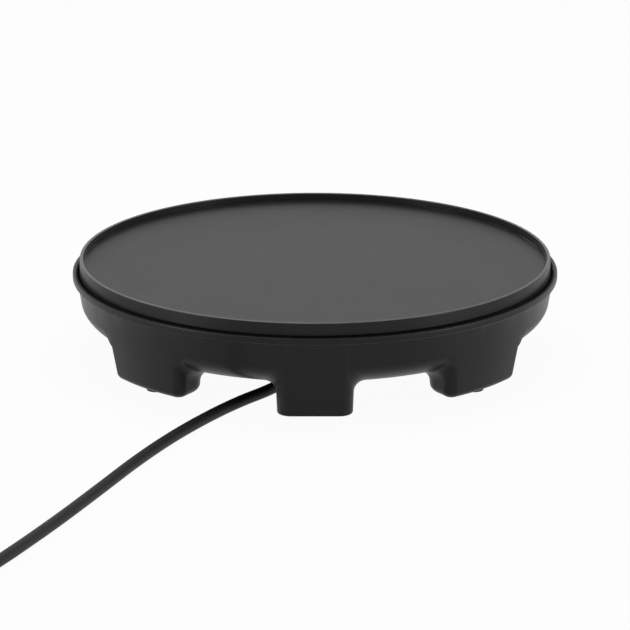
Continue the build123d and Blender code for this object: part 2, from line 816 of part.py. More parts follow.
def cord_tie():
    """Strap round the coil."""
    band = revolve(Plane.XZ * (wound_section(tie_thickness) - wound_section(0)), Axis.Z,
                   revolution_arc=tie_turn)
    return Pos(coil_x, coil_y, 0) * (Rot(0, 0, tie_angle) * band)


tail_x = coil_x - coil_outer + cord_radius
tail_top = tie_thickness + coil_height - cord_radius
sleeve_height = tail_top - tail_drop
plug_y = coil_y + coil_tail + sleeve_length + plug_radius


def power_plug():
    """Round plug lying on its back with the cord entering from the side."""
    body = cyl(plug_radius, 0, plug_height, tail_x, plug_y)
    body &= block((tail_x - plug_half_width, plug_y - 30, -1), (tail_x + plug_half_width, plug_y + 30, 30))
    body = fillet(body.faces().sort_by(Axis.Z)[0].edges(), plug_edge)
    body = fillet(body.faces().sort_by(Axis.Z)[-1].edges(), 1.0)
    root = Plane(origin=(tail_x, plug_y - plug_radius + 5, sleeve_height), z_dir=(0, -1, 0))
    tip = Plane(origin=(tail_x, coil_y + coil_tail, sleeve_height), z_dir=(0, -1, 0))
    return body + loft([root * Circle(sleeve_root_radius), tip * Circle(sleeve_tip_radius)])


def plug_pins():
    """Two round pins standing up from the plug's face."""
    pins = []
    for side in (-1, 1):
        x = tail_x + side * pin_spacing / 2
        pin = cyl(pin_radius, plug_height, plug_height + pin_length, x, plug_y)
        pins.append(fillet(pin.edges().sort_by(Axis.Z)[-1], 1.6))
    return pins


def route_radii(points):
    """Arc radius for each corner, as large as the two runs beside it allow."""
    radii = []
    for a, b, c in zip(points, points[1:], points[2:]):
        one, two = Vector(*b) - Vector(*a), Vector(*c) - Vector(*b)
        turn = radians(one.get_angle(two))
        radii.append(0.45 * min(one.length, two.length) / tan(turn / 2))
    return radii


# ---- Leads inside the bowl ----

def lead(points, bend=5.0):
    """Insulated wire along straight runs with equal bends."""
    return tube(points, lead_radius, [bend] * (len(points) - 2)) if len(points) > 2 \
        else tube(points, lead_radius, [])


def polar(radius, angle):
    """Plan point at a distance from the middle of the bowl."""
    return radius * cos(radians(angle)), radius * sin(radians(angle))


def block_way(way, side):
    """Inside one terminal; side is +1 towards the cord, -1 away from it."""
    along = -terminal_distance + side * (block_depth / 2 - 4)
    return pod_frame(along, way * block_step, lead_height)


def core(way):
    """Core from the end of the sheath up to the connector."""
    spread = way * 2.45
    return lead([pod_frame(sheath_start, spread, cord_exit[2]), pod_frame(-10.2, spread, cord_exit[2]),
                 pod_frame(-11.8, way * 5, 24.0), pod_frame(-23.0, way * block_step, lead_height),
                 block_way(way, 1)], 3.0)


# ---- Build and write every part ----

save("cooking_plate", cooking_plate(), "dimgray")
save("heating_element", element_bar(0), "gray")
save("element_beads", [cyl(bead_radius, tip.Z - bead_height, tip.Z, tip.X, tip.Y)
                       for tip in element_tips()], "ivory")
save("element_tabs", [block((tip.X - tab_width / 2, tip.Y - tab_thickness / 2, tip.Z - bead_height - tab_height),
                            (tip.X + tab_width / 2, tip.Y + tab_thickness / 2, tip.Z - bead_height))
                      for tip in element_tips()], "silver")
save("heat_shield", heat_shield(), "silver")
save("spacers", [cyl(spacer_radius, post_top, shield_level, x, y)
                 - cyl(screw_radius + screw_hole_play, post_top - 1, shield_level + 1, x, y)
                 for x, y in seat_spots], "ivory")
save("plate_screws", [screw(x, y, well_top - screw_head_height, screw_head_radius, screw_head_height,
                            screw_radius, shield_top + screw_bite) for x, y in seat_spots], "silver")
save("housing", housing(), "black")
save("rubber_feet", rubber_feet(), "darkslategray")

panel_plane = Plane(origin=(0, recess_face, (recess_bottom + recess_top) / 2), x_dir=(-1, 0, 0),
                    z_dir=(0, 1, 0))
panel = extrude(panel_plane * RectangleRounded(2 * (recess_half_width - panel_play),
                                               recess_top - recess_bottom - 2 * panel_play,
                                               recess_corner - panel_play), panel_thickness)
panel = fillet(panel.faces().sort_by(Axis.Y)[-1].edges(), 0.5)
for hole_x, hole_r in ((0, spindle_radius + spindle_hole_play), (-lamp_spacing, lens_radius + part_play),
                       (lamp_spacing, lens_radius + part_play)):
    cutter = Plane(origin=(hole_x, recess_face - 1, knob_height), z_dir=(0, 1, 0))
    panel -= extrude(cutter * Circle(hole_r), panel_thickness + 2)
save("control_panel", panel, "black")

for lens_name, lens_x, lens_color in (("power_lens", lamp_spacing, "red"), ("ready_lens", -lamp_spacing, "green")):
    lens_plane = Plane(origin=(lens_x, recess_face - wall, knob_height), z_dir=(0, 1, 0))
    lens = extrude(lens_plane * Circle(lens_radius), wall + panel_thickness + lens_proud)
    lens = fillet(lens.edges().sort_by(Axis.Y)[-1], 1.2)
    save(lens_name, lens, lens_color)
lamps = []
for lamp_x in (-lamp_spacing, lamp_spacing):
    lamp_plane = Plane(origin=(lamp_x, recess_face - wall, knob_height), z_dir=(0, -1, 0))
    lamps.append(fillet(extrude(lamp_plane * Circle(lamp_radius), lamp_length).edges().sort_by(Axis.Y)[0], 1.0))
save("pilot_lamps", lamps, "orange")

save("control_knob", control_knob(), "black")
save("thermostat_spindle", thermostat_spindle(), "gold")
save("thermostat_body", thermostat_body(), "ivory")
save("thermostat_bracket", thermostat_bracket(), "silver")
save("thermostat_blade", thermostat_blade(), "silver")
save("bracket_screws", [screw(x, y, pad_foot - bracket_thickness - small_head_height, small_head_radius,
                              small_head_height, small_screw_radius, pad_foot + 4.5)
                        for x, y in bracket_screw_spots], "silver")

fuse_start = (-fuse_x, fuse_y - fuse_length / 2, lead_height)
fuse_end = (-fuse_x, fuse_y + fuse_length / 2, lead_height)
save("thermal_fuse", tube([fuse_start, fuse_end], fuse_radius, []), "silver")

save("terminal_block", terminal_block(), "ivory")
save("terminal_screws", terminal_screws(), "gold")
save("cord_bush", cord_bush(), "black")
save("cord_inner_end", cord_inner_end(), "black")
save("cord_clamp", cord_clamp(), "gray")
save("clamp_screws", clamp_screws(), "silver")
save("cord_cores", [core(way) for way in (-1, 0, 1)], "brown")

tag_top = plate_under - earth_boss_height
save("earth_tag", earth_tag(), "gold")
save("earth_screw", screw(earth_x, earth_y, tag_top - tag_thickness - screw_head_height, screw_head_radius,
                          screw_head_height, screw_radius, plate_under - 1.5), "silver")

tip_right, tip_left = sorted(element_tips(), key=lambda tip: -tip.X)
stat_tab_x = stat_width / 2 + 3.5
tab_front = bracket_y + 4
stat_level = lead_height + 1
save("neutral_lead", lead([block_way(1, -1), pod_frame(-54, block_step, lead_height),
                           (38.0, 48.0, lead_height), (tip_right.X, tip_right.Y - 19, lead_height),
                           (tip_right.X, tip_right.Y - tab_thickness / 2, lead_height)], 6.0), "blue")
save("live_lead", lead([block_way(0, -1), pod_frame(-56, 0, lead_height), (72.0, 38.0, lead_height),
                        (66.0, 74.0, lead_height), (38.0, element_radius, lead_height),
                        (stat_tab_x, bracket_y - 8, stat_level), (stat_tab_x, tab_front, stat_level)],
                       4.0), "brown")
save("earth_lead", lead([block_way(-1, -1), pod_frame(-56, -block_step, lead_height),
                         (84.0, -8.0, lead_height), (90.0, -34.0, lead_height),
                         (*polar(shield_radius + 6.4, -52.6), 34.0), (*polar(shield_radius + 9.3, -68.7), 47.0),
                         (22.0, earth_y, tag_top - tag_thickness / 2),
                         (earth_x + 9, earth_y, tag_top - tag_thickness / 2)], 4.0), "green")
save("fuse_lead", lead([(-stat_tab_x, tab_front, stat_level), (-stat_tab_x, bracket_y - 8, stat_level),
                        (-44.0, 84.0, lead_height), (-44.0, 46.0, lead_height),
                        (-fuse_x, 46.0, lead_height), fuse_start], 4.0), "brown")
save("element_lead", lead([fuse_end, (-fuse_x, 80.0, lead_height), (tip_left.X, tip_left.Y - 11, lead_height),
                           (tip_left.X, tip_left.Y - tab_thickness / 2, lead_height)], 4.0), "brown")

radii = route_radii(cord_route)
print("cord arc radii", [round(r, 1) for r in radii])
cord_path = FilletPolyline(*cord_route, radius=radii)
power_cord = tube(cord_route, cord_radius, radii)
print("cord length", round(cord_path.length, 1), "volume ratio",
      round(power_cord.volume / (cord_path.length * 3.14159265 * cord_radius ** 2), 5))
save("power_cord", power_cord, "black")
save("cord_coil", cord_coil(), "black")
save("cord_tie", cord_tie(), "gray")
save("power_plug", power_plug(), "black")
save("plug_pins", plug_pins(), "silver")

for name, count, volume in written:
    print(f"{name}: {count} solid(s), {volume:.1f} mm3")
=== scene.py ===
import json
import math
import bpy
import bmesh
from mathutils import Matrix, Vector


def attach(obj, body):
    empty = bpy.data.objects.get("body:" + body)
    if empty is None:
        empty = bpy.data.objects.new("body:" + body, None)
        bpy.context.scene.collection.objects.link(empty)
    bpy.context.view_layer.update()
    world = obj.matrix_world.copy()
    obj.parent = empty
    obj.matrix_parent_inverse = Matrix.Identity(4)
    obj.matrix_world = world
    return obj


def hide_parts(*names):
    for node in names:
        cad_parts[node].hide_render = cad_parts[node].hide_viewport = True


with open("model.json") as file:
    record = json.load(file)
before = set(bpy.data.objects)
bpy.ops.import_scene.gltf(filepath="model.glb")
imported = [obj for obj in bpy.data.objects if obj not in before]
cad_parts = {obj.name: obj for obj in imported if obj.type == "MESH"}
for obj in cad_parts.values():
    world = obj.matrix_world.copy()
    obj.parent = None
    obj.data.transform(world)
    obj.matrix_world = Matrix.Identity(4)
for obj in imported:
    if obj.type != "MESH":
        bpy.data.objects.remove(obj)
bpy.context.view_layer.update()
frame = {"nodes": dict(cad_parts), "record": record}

cameraSizes = {
    "distance": 3.825,      # level distance from the axis of the hotplate
    "height": 1.174,
    "tilt": 16.70,          # degrees down
    "lens": 348.5,
    "sensor": 36.0,
    "farthest": 50.0,
}


def addCamera(sizes):
    data = bpy.data.cameras.new("camera")
    data.lens = sizes["lens"]
    data.sensor_width = sizes["sensor"]
    data.clip_end = sizes["farthest"]
    camera = bpy.data.objects.new("camera", data)
    camera.location = (0.0, -sizes["distance"], sizes["height"])
    camera.rotation_euler = (math.radians(90.0 - sizes["tilt"]), 0.0, 0.0)
    bpy.context.scene.collection.objects.link(camera)
    bpy.context.scene.camera = camera


addCamera(cameraSizes)
print("camera set")


class Sock:
    # an output socket that takes part in sums
    def __init__(self, board, socket):
        self.board = board
        self.socket = socket

    def calc(self, operation, *values):
        return self.board.add("ShaderNodeMath", {"operation": operation}, dict(enumerate(values)))

    def __add__(self, other):
        return self.calc("ADD", self, other)

    def __radd__(self, other):
        return self.calc("ADD", other, self)

    def __sub__(self, other):
        return self.calc("SUBTRACT", self, other)

    def __rsub__(self, other):
        return self.calc("SUBTRACT", other, self)

    def __mul__(self, other):
        return self.calc("MULTIPLY", self, other)

    def __rmul__(self, other):
        return self.calc("MULTIPLY", other, self)

    def clamp(self, low=0.0, high=1.0):
        return self.board.add("ShaderNodeClamp", {}, {"Value": self, "Min": low, "Max": high})

    def band(self, low, high):
        # 0 at low and 1 at high, smooth between; low may be the larger one
        values = {"Value": self, "From Min": low, "From Max": high}
        return self.board.add("ShaderNodeMapRange", {"interpolation_type": "SMOOTHSTEP"}, values)


class Board:
    # one material and its nodes
    def __init__(self, name):
        self.material = bpy.data.materials.new(name)
        self.material.use_nodes = True
        self.tree = self.material.node_tree
        self.tree.nodes.clear()
        self.end = self.tree.nodes.new("ShaderNodeOutputMaterial")

    def add(self, kind, settings=None, inputs=None, output=0):
        node = self.tree.nodes.new(kind)
        for name, value in (settings or {}).items():
            setattr(node, name, value)
        for key, value in (inputs or {}).items():
            if isinstance(value, Sock):
                self.tree.links.new(value.socket, node.inputs[key])
            else:
                node.inputs[key].default_value = value
        return Sock(self, node.outputs[output])

    def place(self):
        return self.add("ShaderNodeTexCoord", output="Object")

    def heightOf(self, place):
        return self.add("ShaderNodeSeparateXYZ", {}, {"Vector": place}, "Z")

    def noise(self, place, scale, detail=2.0, roughness=0.5):
        values = {"Vector": place, "Scale": scale, "Detail": detail, "Roughness": roughness}
        return self.add("ShaderNodeTexNoise", {}, values, "Fac")

    def cells(self, place, scale):
        return self.add("ShaderNodeTexVoronoi", {}, {"Vector": place, "Scale": scale}, "Distance")

    def blendColor(self, factor, first, second):
        # 6, 7 and output 2 are the node's colour sockets
        return self.add("ShaderNodeMix", {"data_type": "RGBA"}, {0: factor, 6: first, 7: second}, 2)

    def tones(self, factor, look):
        # the look's tone, a little darker or lighter from place to place
        low, high = (grey(look["tone"] * part) for part in look["toneRange"])
        return self.blendColor(factor, low, high)

    def bump(self, height, distance):
        values = {"Height": height, "Distance": distance, "Strength": 1.0}
        return self.add("ShaderNodeBump", {}, values)

    def finish(self, values):
        shader = self.add("ShaderNodeBsdfPrincipled", {}, values)
        self.tree.links.new(shader.socket, self.end.inputs["Surface"])
        return self.material


def grey(value):
    return (value, value, value, 1.0)


def paint(colour, factor=1.0):
    return tuple(min(part * factor, 1.0) for part in colour) + (1.0,)


# scales of textures are in one metre, heights and depths in metres
coatingLook = {
    "tone": 0.014,
    "toneRange": (0.92, 1.08),
    "shine": 0.10,
    "roughness": 0.34,
    "roughLimits": (0.2, 0.9),
    "grain": 1500.0,
    "grainDepth": 0.00006,
    "grainRough": 0.16,
    "cloud": 38.0,
    "cloudRough": 0.05,
    "fleck": 825.0,         # pale flecks
    "fleckBand": (0.16, 0.05),
    "fleckMix": 0.5,
    "fleckTone": 1.9,       # times the tone
    "fleckHeight": 0.4,
    "edgeLow": 0.06655,     # painted highlight on the rim's rounded top edge above this height
    "edgeHigh": 0.0668,
    "highlightTone": 0.12,
    "highlightMix": 0.6,
    "edgeRough": 0.08,
}


def makeCoating(look):
    # sprayed non-stick coat on cast metal
    board = Board("plateCoating")
    place = board.place()
    fine = board.noise(place, look["grain"], detail=3.0, roughness=0.6)
    cloud = board.noise(place, look["cloud"], detail=3.0)
    fleck = board.cells(place, look["fleck"]).band(*look["fleckBand"])
    colour = board.tones(cloud, look)
    pale = grey(look["tone"] * look["fleckTone"])
    colour = board.blendColor(fleck * look["fleckMix"], colour, pale)
    # painted highlight: the band round the rim's top edge is blended towards a paler grey; its lower
    # roughness is real
    edge = board.heightOf(place).band(look["edgeLow"], look["edgeHigh"])
    paintedRimHighlight = edge * (look["highlightMix"] + cloud * look["highlightMix"])
    colour = board.blendColor(paintedRimHighlight, colour, grey(look["highlightTone"]))
    rough = (look["roughness"] + (fine - 0.5) * look["grainRough"]
             + (cloud - 0.5) * look["cloudRough"] - edge * look["edgeRough"])
    return board.finish({
        "Base Color": colour,
        "Roughness": rough.clamp(*look["roughLimits"]),
        "Specular IOR Level": look["shine"],
        "Normal": board.bump(fine + fleck * look["fleckHeight"], look["grainDepth"]),
    })


mouldLook = {
    "tone": 0.008,
    "toneRange": (0.9, 1.12),
    "shine": 0.15,
    "roughness": 0.37,
    "roughLimits": (0.1, 0.9),
    "roughSpread": 0.08,
    "grain": 900.0,
    "grainDepth": 0.00003,
    "cloud": 22.0,
    "edgeLow": 0.0535,      # rounded lower edge of the flange, which gets a paler painted highlight
    "edgeHigh": 0.0542,
    "highlightTone": 0.024,
    "fadeIn": 0.0001,
    "fadeOut": 0.0002,
}


def makeMoulded(name, look):
    # dark moulded plastic with an eroded grain
    board = Board(name)
    place = board.place()
    grain = board.noise(place, look["grain"], roughness=0.55)
    cloud = board.noise(place, look["cloud"], detail=3.0)
    height = board.heightOf(place)
    # painted highlight: a paler band along the flange's rounded lower edge
    above = height.band(look["edgeLow"] - look["fadeIn"], look["edgeLow"])
    below = height.band(look["edgeHigh"], look["edgeHigh"] - look["fadeOut"])
    colour = board.blendColor(above * below, board.tones(cloud, look), grey(look["highlightTone"]))
    spread = look["roughSpread"]
    rough = look["roughness"] + (cloud - 0.5) * spread + (grain - 0.5) * spread
    return board.finish({
        "Base Color": colour,
        "Roughness": rough.clamp(*look["roughLimits"]),
        "Specular IOR Level": look["shine"],
        "Normal": board.bump(grain, look["grainDepth"]),
    })


rubberLook = {
    "tone": 0.009,
    "toneRange": (1.0, 1.9),        # clean, and under dust
    "shine": 0.16,
    "roughness": 0.52,
    "roughLimits": (0.2, 0.95),
    "grain": 1400.0,
    "grainDepth": 0.00002,
    "grainRough": 0.06,
    "dust": 90.0,
    "dustBand": (0.52, 0.78),
    "dustMix": 0.5,
    "dustRough": 0.14,
}


def makeRubber(name, look):
    board = Board(name)
    place = board.place()
    grain = board.noise(place, look["grain"], roughness=0.6)
    dust = board.noise(place, look["dust"], detail=4.0, roughness=0.6).band(*look["dustBand"])
    rough = look["roughness"] + dust * look["dustRough"] + (grain - 0.5) * look["grainRough"]
    return board.finish({
        "Base Color": board.tones(dust * look["dustMix"], look),
        "Roughness": rough.clamp(*look["roughLimits"]),
        "Specular IOR Level": look["shine"],
        "Normal": board.bump(grain, look["grainDepth"]),
    })


metalLook = {
    "roughLimits": (0.08, 0.9),
    "streaks": (900.0, 900.0, 60.0),    # along X, Y and Z
    "streakRough": 0.18,
    "streakDepth": 0.000008,
    "stain": 160.0,
    "stainTone": 0.85,      # times the colour
    "stainRough": 0.1,
}


def makeMetal(name, colour, roughness, **changes):
    # metal with fine drawn streaks
    look = {**metalLook, **changes}
    board = Board(name)
    place = board.place()
    stretched = board.add("ShaderNodeMapping", {}, {"Vector": place, "Scale": look["streaks"]})
    streaks = board.noise(stretched, 1.0, detail=3.0, roughness=0.6)
    stain = board.noise(place, look["stain"], detail=4.0, roughness=0.6)
    rough = roughness + (streaks - 0.5) * look["streakRough"] + (stain - 0.5) * look["stainRough"]
    return board.finish({
        "Base Color": board.blendColor(stain, paint(colour, look["stainTone"]), paint(colour)),
        "Metallic": 1.0,
        "Roughness": rough.clamp(*look["roughLimits"]),
        "Normal": board.bump(streaks, look["streakDepth"]),
    })


plainLook = {
    "roughLimits": (0.03, 0.95),
    "roughSpread": 0.12,
    "mottle": 0.12,
    "grain": 700.0,
    "cloudPart": 0.1,       # scale of the mottling, times the grain's
    "depth": 0.00001,
    "coat": 0.0,
}


def makePlain(name, colour, roughness, **changes):
    # plastic, ceramic or insulation in a plain colour
    look = {**plainLook, **changes}
    board = Board(name)
    place = board.place()
    cloud = board.noise(place, look["grain"] * look["cloudPart"], detail=4.0, roughness=0.6)
    fine = board.noise(place, look["grain"])
    low, high = paint(colour, 1.0 - look["mottle"]), paint(colour, 1.0 + look["mottle"])
    rough = roughness + (cloud - 0.5) * look["roughSpread"]
    return board.finish({
        "Base Color": board.blendColor(cloud, low, high),
        "Roughness": rough.clamp(*look["roughLimits"]),
        "Coat Weight": look["coat"],
        "Normal": board.bump(fine, look["depth"]),
    })


lensLook = {
    "facets": 900.0,
    "facetTone": 0.45,      # times the colour
    "facetDepth": 0.0001,
    "roughness": 0.12,
    "clear": 0.35,
    "coat": 0.6,
}


def makeLens(name, colour, look):
    # tinted clear lens with moulded facets
    board = Board(name)
    facets = board.cells(board.place(), look["facets"])
    return board.finish({
        "Base Color": board.blendColor(facets, paint(colour), paint(colour, look["facetTone"])),
        "Roughness": look["roughness"],
        "Transmission Weight": look["clear"],
        "Coat Weight": look["coat"],
        "Normal": board.bump(facets, look["facetDepth"]),
    })


plateCoating = makeCoating(coatingLook)
housingPlastic = makeMoulded("housingPlastic", mouldLook)
panelPlastic = makeMoulded("panelPlastic", {**mouldLook, "roughness": 0.29})
knobPlastic = makeMoulded("knobPlastic", {**mouldLook, "tone": 0.02, "roughness": 0.32, "grain": 1300.0})
tiePlastic = makeMoulded("tiePlastic", {**mouldLook, "tone": 0.03})
footRubber = makeRubber("footRubber", rubberLook)
# near-black rubber for the ring that is painted shade in the gap under the hotplate
gapShadeRubber = makeRubber("gapShadeRubber", {**rubberLook, "tone": 0.003, "shine": 0.04})
cordRubber = makeRubber("cordRubber", {**rubberLook, "tone": 0.006, "grain": 900.0})
platedSteel = makeMetal("platedSteel", (0.62, 0.62, 0.60), 0.32)
elementSteel = makeMetal("elementSteel", (0.26, 0.25, 0.24), 0.5,
                         streaks=(300.0, 300.0, 300.0), stainTone=0.7)
shieldMetal = makeMetal("shieldMetal", (0.80, 0.80, 0.80), 0.26,
                        streaks=(40.0, 900.0, 900.0), stainTone=0.93)
brassMetal = makeMetal("brassMetal", (0.78, 0.58, 0.26), 0.3)
nickelMetal = makeMetal("nickelMetal", (0.72, 0.70, 0.67), 0.16,
                        streaks=(200.0, 200.0, 1200.0), stainTone=0.94)
ceramicBody = makePlain("ceramicBody", (0.78, 0.76, 0.70), 0.55, mottle=0.08, grain=900.0, depth=0.00003)
nylonBody = makePlain("nylonBody", (0.72, 0.70, 0.66), 0.42, mottle=0.05)
brownWire = makePlain("brownWire", (0.16, 0.065, 0.03), 0.45)
blueWire = makePlain("blueWire", (0.03, 0.11, 0.42), 0.45)
greenWire = makePlain("greenWire", (0.16, 0.42, 0.05), 0.45)
lampGlass = makePlain("lampGlass", (0.62, 0.50, 0.42), 0.1,
                      mottle=0.1, grain=500.0, depth=0.000005, coat=0.5)
markPaint = makePlain("markPaint", (0.60, 0.60, 0.58), 0.5, mottle=0.06, grain=1800.0)
redLens = makeLens("redLens", (0.60, 0.010, 0.008), lensLook)
greenLens = makeLens("greenLens", (0.012, 0.33, 0.045), lensLook)
print("materials made")


def mm(*values):
    return [value * 0.001 for value in values]


def linkObject(name, data):
    piece = bpy.data.objects.new(name, data)
    bpy.context.scene.collection.objects.link(piece)
    return piece


def bodyOf(node):
    for body, nodes in frame["record"]["behaviour"]["bodies"].items():
        if node in nodes:
            return body
    return None


def keepPiece(piece, node):
    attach(piece, bodyOf(node))


def bakeModifier(piece, modifier, settings):
    # the modifier's result becomes the piece's plain mesh
    for name, value in settings.items():
        setattr(modifier, name, value)
    graph = bpy.context.evaluated_depsgraph_get()
    old, piece.data = piece.data, bpy.data.meshes.new_from_object(piece.evaluated_get(graph))
    piece.modifiers.clear()
    bpy.data.meshes.remove(old)


# rim of the hotplate, in metres
rimShape = {
    "fromRadius": 0.148,
    "longest": 0.0055,      # longer edges are cut
    "cuts": 3,
    "level": 0.999,         # a face whose normal stands up more than this is flat
    "upright": 0.5,         # one whose normal stands up less than this is a wall
    "rounding": 0.0007,
    "roundCentres": ((0.1520, 0.0663), (0.1529, 0.0663), (0.1529, 0.0591)),     # radius, height
    "offRound": 0.00003,    # how far a rounded edge's points may lie off it
    "offWall": 0.0003,
    "sameRadius": 0.00001,
    "sameHeight": 0.000001,
    "heightDigits": 6,
    "slack": 0.000005,
}


def roundRings(cage, shape):
    # edges that run round the rim get more points, on their true circle
    rings, radii = [], {}
    for edge in cage.edges:
        first, second = (vert.co for vert in edge.verts)
        radius = math.hypot(first.x, first.y)
        offCircle = abs(math.hypot(second.x, second.y) - radius)
        around = offCircle < shape["sameRadius"] and abs(first.z - second.z) < shape["sameHeight"]
        curved = any(abs(face.normal.z) < shape["level"] for face in edge.link_faces)
        outside = radius > shape["fromRadius"] and edge.calc_length() > shape["longest"]
        if around and curved and outside:
            rings.append(edge)
            radii.setdefault(round(first.z, shape["heightDigits"]), set()).add(radius)
    cut = bmesh.ops.subdivide_edges(cage, edges=rings, cuts=shape["cuts"], use_grid_fill=True)
    for vert in (piece for piece in cut["geom_inner"] if isinstance(piece, bmesh.types.BMVert)):
        radius = math.hypot(vert.co.x, vert.co.y)
        circles = radii[round(vert.co.z, shape["heightDigits"])]
        true = min((r for r in circles if r > radius - shape["slack"]), default=radius)
        vert.co.x *= true / radius
        vert.co.y *= true / radius
    bmesh.ops.triangulate(cage, faces=[face for face in cage.faces if len(face.verts) > 3])


def trueNormals(face, spots, shape):
    # exact normals where a face of the rim lies on a wall or on a rounded edge
    reach = [math.hypot(spot.x, spot.y) for spot in spots]
    for middle, height in shape["roundCentres"]:
        gaps = [abs(math.hypot(r - middle, spot.z - height) - shape["rounding"])
                for r, spot in zip(reach, spots)]
        if max(gaps) < shape["offRound"]:
            return [Vector((spot.x * (r - middle) / r, spot.y * (r - middle) / r,
                            spot.z - height)).normalized() for r, spot in zip(reach, spots)]
    if abs(face.normal.z) < shape["upright"] and max(reach) - min(reach) < shape["offWall"]:
        side = 1.0 if face.normal.dot(face.center) > 0.0 else -1.0
        return [Vector((spot.x, spot.y, 0.0)).normalized() * side for spot in spots]
    return None


def roundNormals(mesh, shape):
    normals = [corner.vector.copy() for corner in mesh.corner_normals]
    for face in mesh.polygons:
        spots = [mesh.vertices[i].co for i in face.vertices]
        exact = None
        if min(math.hypot(spot.x, spot.y) for spot in spots) > shape["fromRadius"]:
            exact = trueNormals(face, spots, shape)
        if exact:
            for corner, normal in zip(face.loop_indices, exact):
                normals[corner] = normal
    mesh.normals_split_custom_set(normals)


copyLook = {
    "merge": 0.000002,      # metres
    "angle": 32.0,          # degrees, sharper edges stay sharp
    "weight": 80,
}


def smoothCopy(node, name, material, rim=None):
    # merged copy of a CAD node with soft normals
    mesh = frame["nodes"][node].data.copy()
    cage = bmesh.new()
    cage.from_mesh(mesh)
    bmesh.ops.remove_doubles(cage, verts=cage.verts, dist=copyLook["merge"])
    if rim:
        roundRings(cage, rim)
    cage.to_mesh(mesh)
    cage.free()
    mesh.name = name
    mesh.materials.clear()
    mesh.materials.append(material)
    for face in mesh.polygons:
        face.use_smooth = True
    mesh.set_sharp_from_angle(angle=math.radians(copyLook["angle"]))
    piece = linkObject(name, mesh)
    bakeModifier(piece, piece.modifiers.new("soften", "WEIGHTED_NORMAL"),
                 {"keep_sharp": True, "weight": copyLook["weight"]})
    if rim:
        roundNormals(piece.data, rim)
    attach(piece, bodyOf(node))
    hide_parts(node)


def dress(node, material):
    # CAD node that keeps its own mesh
    data = frame["nodes"][node].data
    data.materials.clear()
    data.materials.append(material)


# in millimetres and degrees
cordSizes = {
    "radius": 3.75,
    "coilCentre": (-243.5, -449.0),
    "outerTurn": 43.85,
    "innerTurn": 36.35,
    "lowTurn": 4.95,
    "highTurn": 12.45,
    "turnPoints": 16,
    "startAngle": -24.3,
    "sweep": 1235.7,
    "goIn": (300.0, 370.0),         # where in the sweep the cord changes place
    "climb": (650.0, 720.0),
    "goOut": (1010.0, 1080.0),
    "tail": 34.0,
    "tailBend": (0.45, 0.6),        # part of the tail, and the drop there
    "sleeveHeight": 9.85,
    "inSleeve": 9.0,
    "smoothness": 10,
    "roundness": 6,
    "order": 3,
}

cordRoute = [
    (-3.0, -62.0, 10.6),
    (-10.3, -70.1, 9.8),
    (-18.6, -79.6, 5.9),
    (-30.4, -93.5, 3.8),
    (-47.4, -114.9, 3.75),
    (-67.3, -147.0, 3.75),
    (-89.0, -188.5, 3.75),
    (-110.4, -237.7, 3.75),
    (-130.6, -291.7, 3.75),
    (-151.9, -347.2, 3.75),
    (-171.0, -393.5, 3.75),
    (-187.5, -431.5, 3.75),
    (-203.5, -467.0, 4.9),
]


def easeBetween(value, start, end):
    part = min(max((value - start) / (end - start), 0.0), 1.0)
    return part * part * (3.0 - 2.0 * part)


def coilPoints(sizes):
    # low outer turn, low inner turn, then up and back out
    points = []
    step = 360.0 / sizes["turnPoints"]
    reach = 0.75 + 0.25 * math.cos(math.radians(step))      # a curve of order 3 cuts corners by this
    count = int(sizes["sweep"] / step)
    for i in range(1, count + 1):
        swept = sizes["sweep"] * i / count
        inward = easeBetween(swept, *sizes["goIn"]) - easeBetween(swept, *sizes["goOut"])
        rise = easeBetween(swept, *sizes["climb"])
        radius = (sizes["outerTurn"] + (sizes["innerTurn"] - sizes["outerTurn"]) * inward) / reach
        height = sizes["lowTurn"] + (sizes["highTurn"] - sizes["lowTurn"]) * rise
        angle = math.radians(sizes["startAngle"] - swept)
        x, y = sizes["coilCentre"]
        points.append((x + radius * math.cos(angle), y + radius * math.sin(angle), height))
    return points


def tailPoints(sizes):
    # straight stretch from the coil into the plug's sleeve
    x = sizes["coilCentre"][0] - sizes["outerTurn"]
    y = sizes["coilCentre"][1]
    part, drop = sizes["tailBend"]
    low, tail = sizes["sleeveHeight"], sizes["tail"]
    return [(x, y + tail * part, sizes["highTurn"] - drop), (x, y + tail, low),
            (x, y + tail + sizes["inSleeve"], low)]


def makeCord(sizes, route):
    curve = bpy.data.curves.new("mainsCord", "CURVE")
    curve.dimensions = "3D"
    curve.resolution_u = sizes["smoothness"]
    curve.bevel_depth = sizes["radius"] * 0.001
    curve.bevel_resolution = sizes["roundness"]
    curve.use_fill_caps = True
    spline = curve.splines.new("NURBS")
    points = route + coilPoints(sizes) + tailPoints(sizes)
    spline.points.add(len(points) - 1)
    for knot, point in zip(spline.points, points):
        knot.co = (*mm(*point), 1.0)
    spline.order_u = sizes["order"]
    spline.use_endpoint_u = True
    curve.materials.append(cordRubber)
    cord = linkObject("mainsCord", curve)
    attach(cord, "base")
    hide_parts("power_cord", "cord_coil")
    return cord


mainsCord = makeCord(cordSizes, cordRoute)
mm(*cordRoute[0])
print("cord laid")

